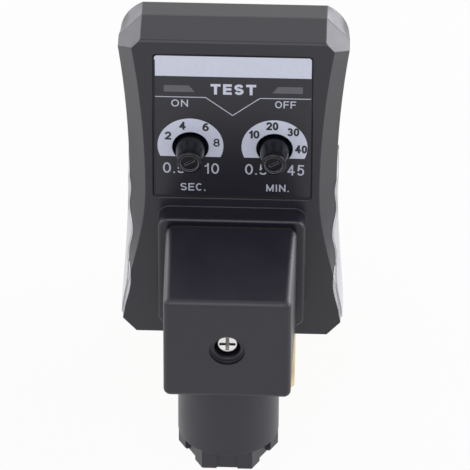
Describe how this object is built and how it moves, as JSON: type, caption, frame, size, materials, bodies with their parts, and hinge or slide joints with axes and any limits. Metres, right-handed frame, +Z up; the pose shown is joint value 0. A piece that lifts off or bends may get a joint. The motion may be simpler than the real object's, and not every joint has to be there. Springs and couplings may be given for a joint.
{
  "type": "automatic drain valve",
  "caption": "Brass two-port solenoid drain valve with a timer head plugged onto its coil and a square cable connector on the timer's front.",
  "frame": {"origin": "on the port axis, where the thread of the inlet port begins behind its chamfer", "axes": "+Z up along the armature tube, +Y out of the inlet port, -Y out of the outlet port and out of the timer's panel"},
  "size_m": [0.0482, 0.0915, 0.107],
  "materials": {
    "forged_brass": "satin, as forged and machined",
    "stainless": "bright drawn",
    "zinc_steel": "bright zinc plate",
    "copper": "bare copper",
    "black_epoxy": "moulded, satin",
    "nylon_white": "natural nylon",
    "black_abs": "fine satin moulding",
    "silver_abs": "silver lacquer",
    "printed_film": "satin film",
    "board_green": "solder mask",
    "trimmer_blue": "moulded",
    "knob_black": "satin moulding",
    "lamp_green": "tinted epoxy",
    "lamp_red": "tinted epoxy",
    "tinned_brass": "tin plate",
    "slate_nylon": "glass filled, satin",
    "rubber": "nitrile"
  },
  "bodies": {
    "valve": {"valve_body": "forged_brass", "bonnet": "forged_brass", "bonnet_o_ring": "rubber", "armature_tube": "stainless", "fixed_core": "stainless", "shading_ring": "copper", "coil_washer": "zinc_steel", "coil_nut": "zinc_steel"},
    "plunger": {"plunger": "stainless", "plunger_seal": "rubber", "plunger_spring": "stainless"},
    "head": {"coil_housing": "black_epoxy", "coil_yoke": "zinc_steel", "coil_bobbin": "nylon_white", "coil_winding": "copper", "coil_terminals": "tinned_brass", "coil_gasket": "rubber", "front_shell": "black_abs", "rear_shell": "black_abs", "left_side_grip": "silver_abs", "right_side_grip": "silver_abs", "shell_screws": "zinc_steel", "panel_overlay": "printed_film", "circuit_board": "board_green", "on_time_trimmer": "trimmer_blue", "off_time_trimmer": "trimmer_blue", "power_lamp": "lamp_green", "valve_lamp": "lamp_red", "test_switch": "knob_black", "board_capacitor": "trimmer_blue", "board_triac": "black_epoxy", "output_sockets": "tinned_brass", "input_pins": "tinned_brass", "connector_gasket": "rubber", "connector_housing": "slate_nylon", "connector_insert": "slate_nylon", "connector_contacts": "tinned_brass", "terminal_screws": "zinc_steel", "central_screw": "zinc_steel", "screw_washer": "rubber", "gland_nut": "slate_nylon", "gland_washer": "nylon_white", "gland_grommet": "rubber"},
    "on_knob": {"on_time_knob": "knob_black"},
    "off_knob": {"off_time_knob": "knob_black"},
    "test_key": {"test_button": "nylon_white"}
  },
  "joints": [
    {"name": "head_swivel", "type": "hinge", "parent": "valve", "child": "head", "pos_m": [0, -0.0236, 0], "axis": [0, 0, 1], "range_deg": [-180, 180]},
    {"name": "plunger_lift", "type": "slide", "parent": "valve", "child": "plunger", "axis": [0, 0, 1], "range_m": [0, 0.002], "stiffness_N_per_m": 300, "springref_m": -0.004, "deforming": ["plunger_spring"]},
    {"name": "on_time_turn", "type": "hinge", "parent": "head", "child": "on_knob", "pos_m": [-0.0088, -0.0586, 0.0646], "axis": [0, -1, 0], "range_deg": [-75, 195]},
    {"name": "off_time_turn", "type": "hinge", "parent": "head", "child": "off_knob", "pos_m": [0.0088, -0.0586, 0.0646], "axis": [0, -1, 0], "range_deg": [-75, 195]},
    {"name": "test_press", "type": "slide", "parent": "head", "child": "test_key", "axis": [0, 1, 0], "range_m": [0, 0.0003], "stiffness_N_per_m": 800, "springref_m": -0.0005}
  ]
}
